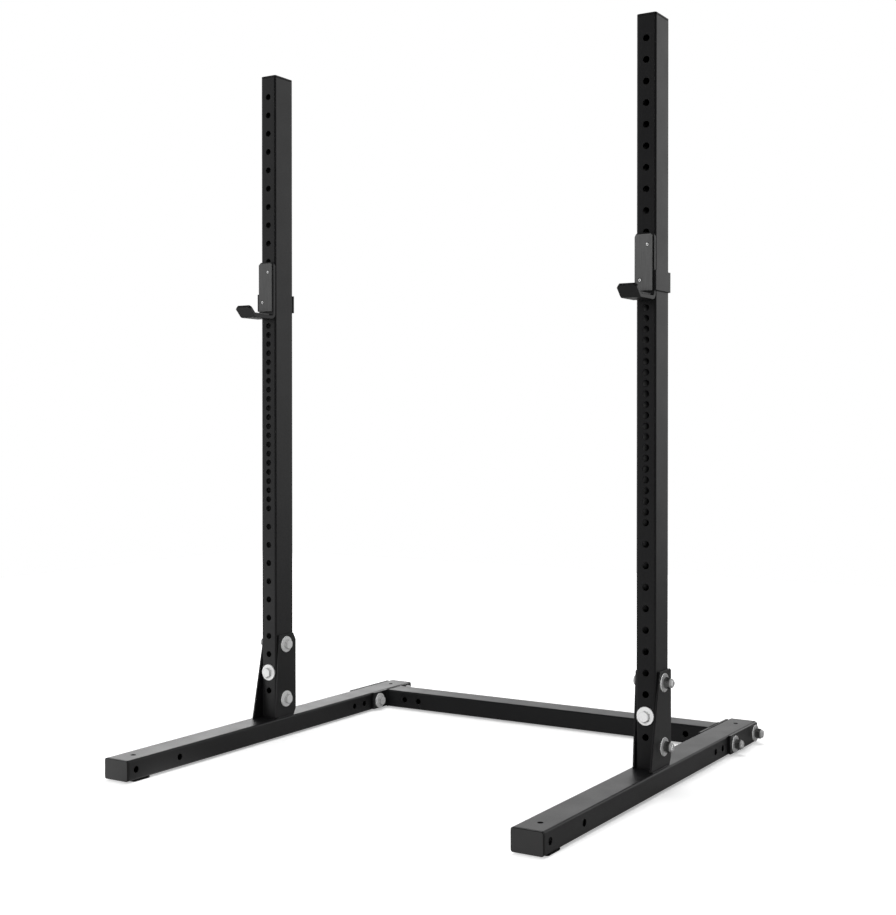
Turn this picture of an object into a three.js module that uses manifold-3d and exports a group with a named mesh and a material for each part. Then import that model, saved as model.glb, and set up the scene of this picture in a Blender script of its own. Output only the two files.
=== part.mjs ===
// Squat stand: two perforated uprights with J-cups, each bolted into a bracket on its own foot,
// and one crossmember bolted between the feet at the rear. Millimetres, +Z up, feet along Y with
// their front ends at -Y. The origin is on the floor, midway between the uprights.

import * as THREE from "three";
import { mergeVertices } from "three/addons/utils/BufferGeometryUtils.js";
import Module from "manifold-3d";

const wasm = await Module();
wasm.setup();

// Clearances
const seatGap = 0.3;
const boltClearance = 0.7;
const washerClearance = 1.7;
const plugBoltClearance = 3.8;
const cutOverrun = 5;

// Steel tube, used upright and laid flat
const tubeNarrow = 50.8;
const tubeWide = 76.2;
const tubeWall = 3;
const tubeCorner = 5.2;
const innerCornerShare = 0.4;

// The whole stand
const uprightSpacing = 1143;
const uprightLength = 1778;
const footLength = 1219.2;

// Pin holes of the uprights, in steps of one pitch up from the lower side bolt
const pinHoleDiameter = 16.5;
const pinHolePitch = 25.4;
const lowestStepHeight = 49.2;
const topHoleMargin = 50;
const lowestPinStep = 1;
const closeRowFirstStep = 21;
const closeRowLastStep = 42;
const wideRowStride = 2;
const lowerSideBoltStep = 0;
const frontBoltStep = 3;
const upperSideBoltStep = 6;
const cupPinStep = 46;

// Holes of the feet and the crossmember
const footSparePairInset = 69.7;
const footSparePairPitch = 49.5;
const footHangHoleInset = 51.5;
const footHangHoleDiameter = 13;
const crossSparePairInset = 66.3;
const crossSparePairPitch = 50;

// Plastic caps and rubber pads
const capFlange = 6;
const capFlangeChamfer = 1.5;
const capPlugDepth = 12;
const capPlugWall = 2.5;
const padThickness = 5;
const padLength = 56;
const padEndInset = 20;
const padSideInset = 3;
const padCorner = 6;

// Post bracket, welded on the foot
const bracketPlate = 4.8;
const bracketTopMargin = 28.4;
const gussetTopForward = 24;
const gussetFootForward = 73;
const innerPlateTopForward = 29;
const innerPlateFootForward = 45;
const gussetTopChamfer = 5;
const bracketTopChamferDepth = 11;
const bracketTopChamferDrop = 20;
const bracketFootChamferDepth = 9;
const bracketFootChamferRise = 18.5;

// Crossmember flanges and the backing plates outside the feet
const crossBoltPitch = 152.4;
const crossBoltDrop = 1.5;
const flangeThickness = 6.35;
const flangeFrontMargin = 32.3;
const flangeRearMargin = 18.5;
const flangeFootMargin = 1.5;
const flangeCorner = 4;

// Bolts, washers and nuts
const hexFlats = 23.8;
const boltHeadHeight = 10;
const crossBoltTail = 0.5;
const postBoltTail = 2.3;
const boltTailChamfer = 1;
const washerDiameter = 44.5;
const washerThickness = 3;
const nutHexHeight = 14.3;
const nutCollarInset = 1.2;
const nutCollarHeight = 4.9;

// J-cup hook, measured from its pin and from the front of the upright
const hookThickness = 9.5;
const hookTopAbovePin = 48;
const hookDrop = 109.9;
const hookReach = 111;
const hookRearBend = 16.5;
const hookFrontBend = 12;
const lipSlope = 45;
const lipHeight = 32;
const lipChamfer = 5.5;
const hookTopChamfer = 6;
const wrapThickness = 4.8;
const wrapTurnMargin = 14.2;
const wrapHeight = 47.6;
const wrapBend = 9;
const wrapWeldLap = 1.5;

// J-cup liner, its screws and the pin
const linerThickness = 4.8;
const linerSideMargin = 3.1;
const linerTopMargin = 3.5;
const linerFootMargin = 4.9;
const linerChamfer = 4;
const linerTongueWidth = 14;
const shelfPadThickness = 3.8;
const shelfPadRearMargin = 7.5;
const shelfPadFrontMargin = 2.7;
const screwOffset = 9.5;
const upperScrewAbovePin = 20;
const screwPitch = 83;
const screwHeadDiameter = 9.6;
const screwHeadDepth = 2.8;
const screwDiameter = 5;
const screwTipMargin = 1;
const cupPinStandout = 32;
const cupPinChamfer = 2;

// Facets
const hexSides = 6;
const sideHexTurn = 30;
const holeSides = 8;
const boltSides = 12;
const washerSides = 16;
const cornerDivisions = 1;
const bendDivisions = 4;

// Places worked out from the sizes
const footBottom = padThickness + seatGap;
const footTop = footBottom + tubeNarrow;
const footMiddle = footBottom + tubeNarrow / 2;
const footEnd = footLength / 2;
const uprightX = uprightSpacing / 2;
const uprightBottom = footTop + seatGap;
const uprightTop = uprightBottom + uprightLength;
const uprightFront = -tubeWide / 2;
const boltDiameter = pinHoleDiameter - boltClearance;
const boltRadius = boltDiameter / 2;
const washerBore = boltDiameter + washerClearance;
const rearCrossBoltY = footEnd - capPlugDepth - boltRadius - plugBoltClearance;
const crossmemberY = rearCrossBoltY - crossBoltPitch / 2;
const crossBoltZ = footMiddle - crossBoltDrop;
const flangeOuterX = uprightX - tubeWide / 2 - seatGap;
const flangeInnerX = flangeOuterX - flangeThickness;
const flangeLength = flangeFrontMargin + crossBoltPitch + flangeRearMargin;
const flangeY = rearCrossBoltY + flangeRearMargin - flangeLength / 2;
const flangeHeight = tubeNarrow - flangeFootMargin;
const flangeMiddleZ = footTop - flangeHeight / 2;
const bracketInnerX = tubeNarrow / 2 + seatGap;
const bracketOuterX = bracketInnerX + bracketPlate;
const bracketRearY = tubeWide / 2 + seatGap + bracketPlate;
const bracketHeight = lowestStepHeight + upperSideBoltStep * pinHolePitch + bracketTopMargin;
const boltStackHead = seatGap + washerThickness + seatGap;
const boltStackNut = seatGap + washerThickness + nutHexHeight + nutCollarHeight;

// Materials
const blackSteel = new THREE.MeshStandardMaterial({ color: 0x2b2b2d, roughness: 0.55, metalness: 0.1 });
const zincSteel = new THREE.MeshStandardMaterial({ color: 0xc9cbcc, roughness: 0.3, metalness: 1 });
const blackPlastic = new THREE.MeshStandardMaterial({ color: 0x222224, roughness: 0.6, metalness: 0 });
const greyPlastic = new THREE.MeshStandardMaterial({ color: 0x5c5c5c, roughness: 0.5, metalness: 0 });
const blackRubber = new THREE.MeshStandardMaterial({ color: 0x1a1a1a, roughness: 0.9, metalness: 0 });

// Solids: closed meshes that can be joined and cut
function solidOf(geometry) {
  const bare = geometry.clone();
  bare.deleteAttribute("normal");
  bare.deleteAttribute("uv");
  const merged = mergeVertices(bare);
  return new wasm.Manifold(
    new wasm.Mesh({
      numProp: 3,
      vertProperties: new Float32Array(merged.attributes.position.array),
      triVerts: new Uint32Array(merged.index.array),
    }),
  );
}

function meshOf(name, solid, material) {
  const result = solid.getMesh();
  const geometry = new THREE.BufferGeometry();
  geometry.setAttribute("position", new THREE.BufferAttribute(result.vertProperties, 3));
  geometry.setIndex(new THREE.BufferAttribute(result.triVerts, 1));
  const flat = geometry.toNonIndexed();
  flat.computeVertexNormals();
  const mesh = new THREE.Mesh(flat, material);
  mesh.name = name;
  return mesh;
}

// A prism of a flat outline. Along z the outline is drawn in x and y, along x in y and z,
// and along y in x and z.
function prism(shape, axis, from, to, divisions = cornerDivisions) {
  const settings = { depth: to - from, bevelEnabled: false, curveSegments: divisions };
  const geometry = new THREE.ExtrudeGeometry(shape, settings);
  const turns = {
    x: [new THREE.Vector3(0, 1, 0), new THREE.Vector3(0, 0, 1), new THREE.Vector3(1, 0, 0)],
    y: [new THREE.Vector3(1, 0, 0), new THREE.Vector3(0, 0, 1), new THREE.Vector3(0, -1, 0)],
    z: [new THREE.Vector3(1, 0, 0), new THREE.Vector3(0, 1, 0), new THREE.Vector3(0, 0, 1)],
  };
  geometry.applyMatrix4(new THREE.Matrix4().makeBasis(...turns[axis]));
  const shifts = { x: [from, 0, 0], y: [0, to, 0], z: [0, 0, from] };
  geometry.translate(...shifts[axis]);
  return solidOf(geometry);
}

function polygon(radius, sides) {
  const points = [];
  for (let corner = 0; corner < sides; corner += 1) {
    const angle = ((corner + 0.5) * 2 * Math.PI) / sides;
    points.push(new THREE.Vector2(radius * Math.cos(angle), radius * Math.sin(angle)));
  }
  return points;
}

// The radius of the corners of a polygon whose flats touch a circle of the given radius
function cornerRadius(radius, sides) {
  return radius / Math.cos(Math.PI / sides);
}

function roundedRectangle(width, height, radius) {
  const halfWidth = width / 2;
  const halfHeight = height / 2;
  const shape = new THREE.Shape();
  shape.absarc(halfWidth - radius, halfHeight - radius, radius, 0, Math.PI / 2);
  shape.absarc(radius - halfWidth, halfHeight - radius, radius, Math.PI / 2, Math.PI);
  shape.absarc(radius - halfWidth, radius - halfHeight, radius, Math.PI, 1.5 * Math.PI);
  shape.absarc(halfWidth - radius, radius - halfHeight, radius, 1.5 * Math.PI, 2 * Math.PI);
  shape.closePath();
  return shape;
}

function outline(points) {
  return new THREE.Shape(points.map(([across, up]) => new THREE.Vector2(across, up)));
}

function block(low, high) {
  const shape = outline([
    [low[0], low[1]],
    [high[0], low[1]],
    [high[0], high[1]],
    [low[0], high[1]],
  ]);
  return prism(shape, "z", low[2], high[2]);
}

// A cutter for a round hole along an axis. Its flats touch the hole, so a round bolt clears them.
function holeCutter(axis, diameter, length, place) {
  const radius = cornerRadius(diameter / 2, holeSides);
  const geometry = new THREE.CylinderGeometry(radius, radius, length, holeSides);
  geometry.rotateY(Math.PI / holeSides);
  if (axis === "x") geometry.rotateZ(Math.PI / 2);
  if (axis === "z") geometry.rotateX(Math.PI / 2);
  geometry.translate(...place);
  return solidOf(geometry);
}

function cutHoles(solid, axis, diameter, length, places) {
  return places.reduce((rest, place) => rest.subtract(holeCutter(axis, diameter, length, place)), solid);
}

// A length of tube: its outline is width by height across the axis
function tubeSolid(axis, width, height, from, to) {
  const outer = roundedRectangle(width, height, tubeCorner);
  const inner = roundedRectangle(width - 2 * tubeWall, height - 2 * tubeWall, tubeCorner * innerCornerShare);
  const bore = prism(inner, axis, from - cutOverrun, to + cutOverrun);
  return prism(outer, axis, from, to).subtract(bore);
}

// Heights of the pin holes above the lower end of the upright
function stepHeight(step) {
  return lowestStepHeight + step * pinHolePitch;
}

function pinHoleHeights() {
  const highestPinStep = Math.floor((uprightLength - topHoleMargin - lowestStepHeight) / pinHolePitch);
  const heights = [];
  for (let step = lowestPinStep; step < closeRowFirstStep; step += wideRowStride) {
    heights.push(stepHeight(step));
  }
  for (let step = closeRowFirstStep; step < closeRowLastStep; step += 1) {
    heights.push(stepHeight(step));
  }
  for (let step = closeRowLastStep; step <= highestPinStep; step += wideRowStride) {
    heights.push(stepHeight(step));
  }
  return heights;
}

function uprightSolid() {
  const tube = tubeSolid("z", tubeNarrow, tubeWide, 0, uprightLength);
  const through = tubeWide + 2 * cutOverrun;
  const across = tubeNarrow + 2 * cutOverrun;
  const pinPlaces = pinHoleHeights().map((height) => [0, 0, height]);
  const boltPlaces = [lowerSideBoltStep, upperSideBoltStep].map((step) => [0, 0, stepHeight(step)]);
  const perforated = cutHoles(tube, "y", pinHoleDiameter, through, pinPlaces);
  return cutHoles(perforated, "x", pinHoleDiameter, across, boltPlaces);
}

// Bolts pass the crossmember flanges here, and the same holes are repeated at the front
function crossBoltPlaces() {
  return [rearCrossBoltY - crossBoltPitch, rearCrossBoltY];
}

function footSolid() {
  const tube = tubeSolid("y", tubeWide, tubeNarrow, -footEnd, footEnd);
  const across = tubeWide + 2 * cutOverrun;
  const rearPlaces = crossBoltPlaces();
  const sparePlace = rearCrossBoltY - crossBoltPitch - footSparePairInset;
  const sparePlaces = [sparePlace - footSparePairPitch, sparePlace];
  const frontPlaces = rearPlaces.map((place) => -place);
  const boltPlaces = rearPlaces.map((place) => [0, place, -crossBoltDrop]);
  const otherPlaces = [...sparePlaces, ...frontPlaces].map((place) => [0, place, 0]);
  const drilled = cutHoles(tube, "x", pinHoleDiameter, across, [...boltPlaces, ...otherPlaces]);
  const hangPlace = footEnd - footHangHoleInset;
  const hangPlaces = [-hangPlace, hangPlace].map((place) => [0, place, tubeNarrow / 2]);
  return cutHoles(drilled, "z", footHangHoleDiameter, tubeNarrow / 2, hangPlaces);
}

// A cap for the end of a tube: its plug goes down into the tube and its flange covers the end
function capSolid(width, height) {
  const rim = capFlange - capFlangeChamfer;
  const cover = prism(roundedRectangle(width, height, tubeCorner), "z", 0, rim);
  const crownWidth = width - 2 * capFlangeChamfer;
  const crownHeight = height - 2 * capFlangeChamfer;
  const crown = prism(roundedRectangle(crownWidth, crownHeight, tubeCorner), "z", rim / 2, capFlange);
  const plugWidth = width - 2 * (tubeWall + seatGap);
  const plugHeight = height - 2 * (tubeWall + seatGap);
  const plugRadius = tubeCorner * innerCornerShare;
  const plug = prism(roundedRectangle(plugWidth, plugHeight, plugRadius), "z", -capPlugDepth, rim / 2);
  const hollowWidth = plugWidth - 2 * capPlugWall;
  const hollowHeight = plugHeight - 2 * capPlugWall;
  const hollowShape = roundedRectangle(hollowWidth, hollowHeight, plugRadius);
  const hollow = prism(hollowShape, "z", -capPlugDepth - cutOverrun, 0);
  return cover.add(crown).add(plug).subtract(hollow);
}

function padSolid() {
  const shape = roundedRectangle(tubeWide - 2 * padSideInset, padLength, padCorner);
  return prism(shape, "z", 0, padThickness);
}

// Outline of a bracket side plate in y and z, from the foot up
function bracketOutline(footForward, topForward, chamferDepth, chamferDrop) {
  return outline([
    [-footForward, 0],
    [bracketRearY - bracketFootChamferDepth, 0],
    [bracketRearY, bracketFootChamferRise],
    [bracketRearY, bracketHeight - chamferDrop],
    [bracketRearY - chamferDepth, bracketHeight],
    [-topForward, bracketHeight],
  ]);
}

// The bracket of the right foot: the gusset is on its outer side, at +x
function bracketSolid() {
  const gussetShape = bracketOutline(gussetFootForward, gussetTopForward, gussetTopChamfer, gussetTopChamfer);
  const gusset = prism(gussetShape, "x", bracketInnerX, bracketOuterX);
  const innerShape = bracketOutline(
    innerPlateFootForward,
    innerPlateTopForward,
    bracketTopChamferDepth,
    bracketTopChamferDrop,
  );
  const innerPlate = prism(innerShape, "x", -bracketOuterX, -bracketInnerX);
  const webTop = bracketHeight - bracketTopChamferDrop;
  const webLow = [-bracketOuterX, bracketRearY - bracketPlate, bracketFootChamferRise];
  const web = block(webLow, [bracketOuterX, bracketRearY, webTop]);
  const bracket = gusset.add(innerPlate).add(web);
  const sidePlaces = [lowerSideBoltStep, upperSideBoltStep].map((step) => [0, 0, stepHeight(step)]);
  const across = 2 * (bracketOuterX + cutOverrun);
  const sideDrilled = cutHoles(bracket, "x", pinHoleDiameter, across, sidePlaces);
  const webPlace = [0, bracketRearY, stepHeight(frontBoltStep)];
  return cutHoles(sideDrilled, "y", pinHoleDiameter, 2 * (bracketPlate + cutOverrun), [webPlace]);
}

// A plate against the side of the foot with the two bolt holes
function sidePlateSolid(from, to) {
  const shape = roundedRectangle(flangeLength, flangeHeight, flangeCorner);
  const plate = prism(shape, "x", from, to).translate([0, flangeY, flangeMiddleZ]);
  const middle = (from + to) / 2;
  const places = crossBoltPlaces().map((place) => [middle, place, crossBoltZ]);
  return cutHoles(plate, "x", pinHoleDiameter, flangeThickness + 2 * cutOverrun, places);
}

function crossmemberSolid() {
  const reach = flangeInnerX + flangeThickness / 2;
  const tube = tubeSolid("x", tubeWide, tubeNarrow, -reach, reach).translate([0, crossmemberY, footMiddle]);
  const outerHole = flangeInnerX - crossSparePairInset;
  const innerHole = outerHole - crossSparePairPitch;
  const holePlaces = [-outerHole, -innerHole, innerHole, outerHole];
  const places = holePlaces.map((place) => [place, crossmemberY, footMiddle]);
  const drilled = cutHoles(tube, "y", pinHoleDiameter, tubeWide + 2 * cutOverrun, places);
  const rightFlange = sidePlateSolid(flangeInnerX, flangeOuterX);
  const leftFlange = sidePlateSolid(-flangeOuterX, -flangeInnerX);
  return drilled.add(rightFlange).add(leftFlange);
}

// A hexagon bolt along +z, with the underside of its head at the origin
function boltSolid(length) {
  const headShape = new THREE.Shape(polygon(cornerRadius(hexFlats / 2, hexSides), hexSides));
  const head = prism(headShape, "z", -boltHeadHeight, 0);
  const profile = [
    new THREE.Vector2(0, -boltHeadHeight / 2),
    new THREE.Vector2(boltRadius, -boltHeadHeight / 2),
    new THREE.Vector2(boltRadius, length - boltTailChamfer),
    new THREE.Vector2(boltRadius - boltTailChamfer, length),
    new THREE.Vector2(0, length),
  ];
  const shank = new THREE.LatheGeometry(profile, boltSides);
  shank.rotateX(Math.PI / 2);
  return head.add(solidOf(shank));
}

function ringSolid(shapePoints, bore, from, to) {
  const shape = new THREE.Shape(shapePoints);
  shape.holes.push(new THREE.Path(polygon(cornerRadius(bore / 2, holeSides), holeSides)));
  return prism(shape, "z", from, to);
}

function washerSolid() {
  return ringSolid(polygon(washerDiameter / 2, washerSides), washerBore, 0, washerThickness);
}

// A locking nut with a round collar and the washer that it presses on the plate
function nutSolid() {
  const hexTop = washerThickness + nutHexHeight;
  const hexShape = polygon(cornerRadius(hexFlats / 2, hexSides), hexSides);
  const hex = ringSolid(hexShape, washerBore, washerThickness / 2, hexTop);
  const collarShape = polygon(hexFlats / 2 - nutCollarInset, boltSides);
  const collar = ringSolid(collarShape, washerBore, hexTop - nutCollarHeight, hexTop + nutCollarHeight);
  return washerSolid().add(hex).add(collar);
}

// The bolt with its washer and nut, through a stack of the given thickness. The stack's near face
// is at the group's origin and the bolt runs along the group's +z.
function boltGroup(name, stack, tail) {
  const group = new THREE.Group();
  const bolt = meshOf(name, boltSolid(boltStackHead + stack + boltStackNut + tail), zincSteel);
  bolt.position.z = -boltStackHead;
  const washer = meshOf(name + "_washer", washerSolid(), zincSteel);
  washer.position.z = -seatGap - washerThickness;
  const nut = meshOf(name + "_nut", nutSolid(), zincSteel);
  nut.position.z = stack + seatGap;
  group.add(bolt, washer, nut);
  return group;
}

// The two ends of the lip's edge: the outer face slopes up and forward to the tip
function lipTips() {
  const slope = THREE.MathUtils.degToRad(lipSlope);
  const outerUp = lipHeight - hookDrop - hookThickness * Math.cos(slope);
  const outer = [-hookReach, outerUp];
  const inner = [hookThickness * Math.sin(slope) - hookReach, outerUp + hookThickness * Math.cos(slope)];
  return { outer, inner };
}

// Where a bend into the lip's slope starts on a level face, so that the slope meets the tip
function lipBendStart(radius, level, [tipY, tipZ]) {
  const slope = THREE.MathUtils.degToRad(lipSlope);
  const rise = tipZ - level - radius * (1 - Math.cos(slope));
  return tipY + rise / Math.tan(slope) + radius * Math.sin(slope);
}

// The bent bar of the hook, in y and z from the pin: up the upright, along the shelf, up the lip
function hookProfile() {
  const floor = -hookDrop;
  const shelf = floor + hookThickness;
  const rearInner = Math.max(hookRearBend - hookThickness, seatGap);
  const frontInner = Math.max(hookFrontBend - hookThickness, seatGap);
  const tips = lipTips();
  const innerStart = lipBendStart(frontInner, shelf, tips.inner);
  const outerStart = lipBendStart(hookFrontBend, floor, tips.outer);
  const turned = -Math.PI / 2 - THREE.MathUtils.degToRad(lipSlope);
  const shape = new THREE.Shape();
  shape.moveTo(0, hookTopAbovePin);
  shape.lineTo(-hookThickness, hookTopAbovePin);
  shape.absarc(-hookThickness - rearInner, shelf + rearInner, rearInner, 0, -Math.PI / 2, true);
  shape.absarc(innerStart, shelf + frontInner, frontInner, -Math.PI / 2, turned, true);
  shape.lineTo(...tips.inner);
  shape.lineTo(...tips.outer);
  shape.absarc(outerStart, floor + hookFrontBend, hookFrontBend, turned, -Math.PI / 2);
  shape.absarc(-hookRearBend, floor + hookRearBend, hookRearBend, -Math.PI / 2, 0);
  shape.closePath();
  return shape;
}

// A wedge along y that takes one upper corner off a plate of the given half width
function cornerWedge(side, halfWidth, top, size, from, to) {
  const edge = side * halfWidth;
  const points = [
    [edge - side * size, top],
    [edge - side * size, top + cutOverrun],
    [edge + side * cutOverrun, top + cutOverrun],
    [edge + side * cutOverrun, top - size],
    [edge, top - size],
  ];
  const ordered = side > 0 ? points.reverse() : points;
  return prism(outline(ordered), "y", from, to);
}

// The side wrap in x and y: from the back plate's edge along the upright's outer side and
// across its rear, ending level with the inner side. It lies further below the pin than the
// upright's side is from it, so that it clears the upright when the cup turns outward.
function wrapSolid() {
  const plateEdge = tubeNarrow / 2;
  const inner = plateEdge + seatGap;
  const outer = inner + wrapThickness;
  const rear = seatGap + tubeWide + seatGap;
  const rearOuter = rear + wrapThickness;
  const innerBend = Math.max(wrapBend - wrapThickness, seatGap);
  const shape = new THREE.Shape();
  shape.moveTo(plateEdge - wrapWeldLap, -hookThickness);
  shape.lineTo(outer, -hookThickness);
  shape.absarc(outer - wrapBend, rearOuter - wrapBend, wrapBend, 0, Math.PI / 2);
  shape.lineTo(-plateEdge, rearOuter);
  shape.lineTo(-plateEdge, rear);
  shape.absarc(inner - innerBend, rear - innerBend, innerBend, Math.PI / 2, 0, true);
  shape.lineTo(inner, 0);
  shape.lineTo(plateEdge - wrapWeldLap, 0);
  shape.closePath();
  const wrapTop = -inner - wrapTurnMargin;
  return prism(shape, "z", wrapTop - wrapHeight, wrapTop, bendDivisions);
}

// Centres of the liner screws across and up from the pin. They aren't mirrored between the cups.
function screwPlaces(side) {
  return [
    ["upper_screw", side * screwOffset, upperScrewAbovePin],
    ["lower_screw", -side * screwOffset, upperScrewAbovePin - screwPitch],
  ];
}

function hookSolid(side) {
  const halfWidth = tubeNarrow / 2;
  const bar = prism(hookProfile(), "x", -halfWidth, halfWidth, bendDivisions);
  const tip = lipTips().outer;
  const lean = 90 - lipSlope;
  const plateFront = -hookThickness - cutOverrun;
  let hook = bar.add(wrapSolid());
  for (const corner of [-1, 1]) {
    const lipWedge = cornerWedge(corner, halfWidth, 0, lipChamfer, -cutOverrun, hookThickness + cutOverrun);
    hook = hook.subtract(lipWedge.rotate([lean, 0, 0]).translate([0, ...tip]));
    const topWedge = cornerWedge(corner, halfWidth, hookTopAbovePin, hookTopChamfer, plateFront, cutOverrun);
    hook = hook.subtract(topWedge);
  }
  const through = 2 * (hookThickness + cutOverrun);
  const screwHoles = screwPlaces(side).map(([, across, up]) => [across, 0, up]);
  const tapped = cutHoles(hook, "y", screwDiameter + 2 * seatGap, through, screwHoles);
  return cutHoles(tapped, "y", pinHoleDiameter, through, [[0, 0, 0]]);
}

// The liner in y and z: down the hook's plate, round its rear bend and along its shelf
function linerProfile(top) {
  const shelf = hookThickness - hookDrop;
  const rear = -hookThickness - seatGap;
  const bottom = shelf + seatGap;
  const outerBend = Math.max(hookRearBend - hookThickness, 2 * seatGap) - seatGap;
  const innerBend = Math.max(outerBend - linerThickness, seatGap);
  const innerStart = lipBendStart(Math.max(hookFrontBend - hookThickness, seatGap), shelf, lipTips().inner);
  const front = innerStart + shelfPadFrontMargin;
  const shape = new THREE.Shape();
  shape.moveTo(rear, top);
  shape.lineTo(rear - linerThickness, top);
  const innerMiddle = [rear - linerThickness - innerBend, bottom + shelfPadThickness + innerBend];
  shape.absarc(...innerMiddle, innerBend, 0, -Math.PI / 2, true);
  shape.lineTo(front, bottom + shelfPadThickness);
  shape.lineTo(front, bottom);
  shape.absarc(rear - outerBend, bottom + outerBend, outerBend, -Math.PI / 2, 0);
  shape.closePath();
  return shape;
}

// The grey liner: a plate on the hook's back plate and a pad on its shelf, joined by a narrow
// tongue in the bend
function linerSolid(side) {
  const top = hookTopAbovePin - linerTopMargin;
  const bottom = hookRearBend - hookDrop + linerFootMargin;
  const edge = tubeNarrow / 2 - linerSideMargin;
  const rear = -hookThickness - seatGap;
  const front = rear - linerThickness;
  const padRear = -hookRearBend - shelfPadRearMargin;
  let liner = prism(linerProfile(top), "x", -edge, edge, bendDivisions);
  for (const corner of [-1, 1]) {
    liner = liner.subtract(cornerWedge(corner, edge, top, linerChamfer, front - cutOverrun, rear + cutOverrun));
    const spans = [(corner * linerTongueWidth) / 2, corner * (edge + cutOverrun)].sort((a, b) => a - b);
    const low = [spans[0], padRear, -hookDrop - cutOverrun];
    liner = liner.subtract(block(low, [spans[1], rear + cutOverrun, bottom]));
  }
  for (const [, across, up] of screwPlaces(side)) {
    const shank = holeCutter("y", screwDiameter + 2 * seatGap, 2 * linerThickness, [across, rear, up]);
    const seatDiameter = screwHeadDiameter + 2 * seatGap;
    const seat = holeCutter("y", seatDiameter, 2 * (screwHeadDepth + seatGap), [across, front, up]);
    liner = liner.subtract(shank).subtract(seat);
  }
  return liner;
}

// A liner screw along +z, with the outer face of its head at the origin
function screwSolid() {
  const length = linerThickness + seatGap + hookThickness - screwTipMargin;
  const profile = [
    new THREE.Vector2(0, 0),
    new THREE.Vector2(screwHeadDiameter / 2, 0),
    new THREE.Vector2(screwHeadDiameter / 2, screwHeadDepth / 2),
    new THREE.Vector2(screwDiameter / 2, screwHeadDepth),
    new THREE.Vector2(screwDiameter / 2, length),
    new THREE.Vector2(0, length),
  ];
  const screw = new THREE.LatheGeometry(profile, boltSides);
  screw.rotateX(Math.PI / 2);
  return solidOf(screw);
}

// The pin along +z, from inside the hook's plate to its free end in the upright. It is as thick as
// the bolts, because all of them pass the same holes.
function cupPinSolid() {
  const length = hookThickness + cupPinStandout;
  const profile = [
    new THREE.Vector2(0, 0),
    new THREE.Vector2(boltRadius, 0),
    new THREE.Vector2(boltRadius, length - cupPinChamfer),
    new THREE.Vector2(boltRadius - cupPinChamfer, length),
    new THREE.Vector2(0, length),
  ];
  const pin = new THREE.LatheGeometry(profile, boltSides);
  pin.rotateX(Math.PI / 2);
  return solidOf(pin);
}

// A J-cup with its origin on the pin's axis at the back of its plate
function cupGroup(name, side) {
  const group = new THREE.Group();
  const hook = meshOf(name + "_hook", hookSolid(side), blackSteel);
  const liner = meshOf(name + "_liner", linerSolid(side), greyPlastic);
  const pin = meshOf(name + "_pin", cupPinSolid(), zincSteel);
  pin.position.y = -hookThickness;
  pin.rotation.x = -Math.PI / 2;
  group.add(hook, liner, pin);
  for (const [part, across, up] of screwPlaces(side)) {
    const screw = meshOf(name + "_" + part, screwSolid(), zincSteel);
    screw.position.set(across, -hookThickness - seatGap - linerThickness, up);
    screw.rotation.x = -Math.PI / 2;
    group.add(screw);
  }
  return group;
}

// An upright with its cap, bracket, bolts and J-cup, about the middle of its own foot
function postGroup(name, side) {
  const group = new THREE.Group();
  const upright = meshOf(name + "_upright", uprightSolid(), blackSteel);
  upright.position.z = uprightBottom;
  const cap = meshOf(name + "_upright_cap", capSolid(tubeNarrow, tubeWide), blackPlastic);
  cap.position.z = uprightTop + seatGap;
  const bracket = meshOf(name + "_post_bracket", bracketSolid(), blackSteel);
  bracket.position.z = uprightBottom;
  group.add(upright, cap, bracket);

  const sideStack = 2 * bracketOuterX;
  const sideBolts = [
    ["lower_side_bolt", lowerSideBoltStep],
    ["upper_side_bolt", upperSideBoltStep],
  ];
  for (const [part, step] of sideBolts) {
    const bolt = boltGroup(name + "_" + part, sideStack, postBoltTail);
    bolt.position.set(-bracketOuterX, 0, uprightBottom + stepHeight(step));
    bolt.rotation.set(0, Math.PI / 2, THREE.MathUtils.degToRad(sideHexTurn));
    group.add(bolt);
  }
  const frontStack = bracketRearY - uprightFront;
  const frontBolt = boltGroup(name + "_front_bolt", frontStack, postBoltTail);
  frontBolt.position.set(0, uprightFront, uprightBottom + stepHeight(frontBoltStep));
  frontBolt.rotation.x = -Math.PI / 2;
  group.add(frontBolt);

  const cup = cupGroup(name + "_jcup", side);
  cup.position.set(0, uprightFront - seatGap, uprightBottom + stepHeight(cupPinStep));
  group.add(cup);
  return group;
}

// A foot with its end caps and rubber pads, about its own middle
function footGroup(name) {
  const group = new THREE.Group();
  const foot = meshOf(name + "_foot", footSolid(), blackSteel);
  foot.position.z = footMiddle;
  group.add(foot);
  for (const [end, direction] of [["front", -1], ["rear", 1]]) {
    const cap = meshOf(name + "_foot_" + end + "_cap", capSolid(tubeWide, tubeNarrow), blackPlastic);
    cap.position.set(0, direction * (footEnd + seatGap), footMiddle);
    cap.rotation.x = (-direction * Math.PI) / 2;
    const pad = meshOf(name + "_foot_" + end + "_pad", padSolid(), blackRubber);
    pad.position.y = direction * (footEnd - padEndInset - padLength / 2);
    group.add(cap, pad);
  }
  return group;
}

// The backing plate and the crossmember bolts of one foot, outer side at +x
function jointGroup(name) {
  const group = new THREE.Group();
  const plateX = uprightX + tubeWide / 2 + seatGap;
  const plate = meshOf(name + "_backing_plate", sidePlateSolid(plateX, plateX + flangeThickness), blackSteel);
  group.add(plate);
  const stack = plateX + flangeThickness - flangeInnerX;
  for (const [index, place] of crossBoltPlaces().entries()) {
    const end = ["front", "rear"][index];
    const bolt = boltGroup(name + "_cross_" + end + "_bolt", stack, crossBoltTail);
    bolt.position.set(flangeInnerX, place, crossBoltZ);
    bolt.rotation.set(0, Math.PI / 2, THREE.MathUtils.degToRad(sideHexTurn));
    group.add(bolt);
  }
  return group;
}

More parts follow.
